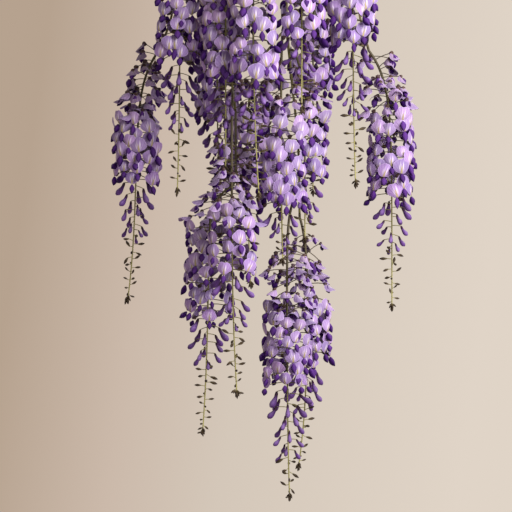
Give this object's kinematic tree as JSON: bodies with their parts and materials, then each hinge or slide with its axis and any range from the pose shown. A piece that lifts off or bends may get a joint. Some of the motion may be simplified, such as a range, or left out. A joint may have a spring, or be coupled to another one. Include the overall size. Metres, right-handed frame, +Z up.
{
  "type": "wisteria in a hanging pot",
  "caption": "Flowering wisteria in a hanging clay pot: woody shoots arch over the rim and long lilac racemes hang from them",
  "frame": {"origin": "where the hook bears on what holds it, at the inside of its curve, on the pot's axis", "axes": "+Z up along the pot's axis, front of the plant faces -Y, +X to the right as seen from the front"},
  "size_m": [0.4688, 0.3875, 1.0567],
  "materials": {
    "clay": "unglazed terracotta, matt",
    "soil": "loose dark potting soil",
    "steel": "drawn steel wire, satin",
    "wood": "grey-brown bark",
    "leaf": "young green leaf",
    "petal": "soft lilac and violet petals"
  },
  "bodies": {
    "root": {"pot": "clay", "soil": "soil", "hanger_hub": "steel", "hanger_hook": "steel", "hanger_wire_1": "steel", "hanger_wire_2": "steel", "hanger_wire_3": "steel", "vine_wood": "wood", "leaf_1": "leaf", "leaf_2": "leaf", "leaf_3": "leaf", "leaf_4": "leaf", "leaf_5": "leaf", "leaf_6": "leaf", "leaf_7": "leaf", "leaf_8": "leaf", "leaf_9": "leaf", "raceme_01": "petal", "raceme_02": "petal", "raceme_03": "petal", "raceme_04": "petal", "raceme_05": "petal", "raceme_06": "petal", "raceme_07": "petal", "raceme_08": "petal", "raceme_09": "petal", "raceme_10": "petal", "raceme_11": "petal", "raceme_12": "petal", "raceme_13": "petal", "raceme_14": "petal", "raceme_15": "petal", "raceme_16": "petal", "raceme_17": "petal", "raceme_18": "petal", "raceme_19": "petal", "raceme_20": "petal"}
  },
  "joints": []
}
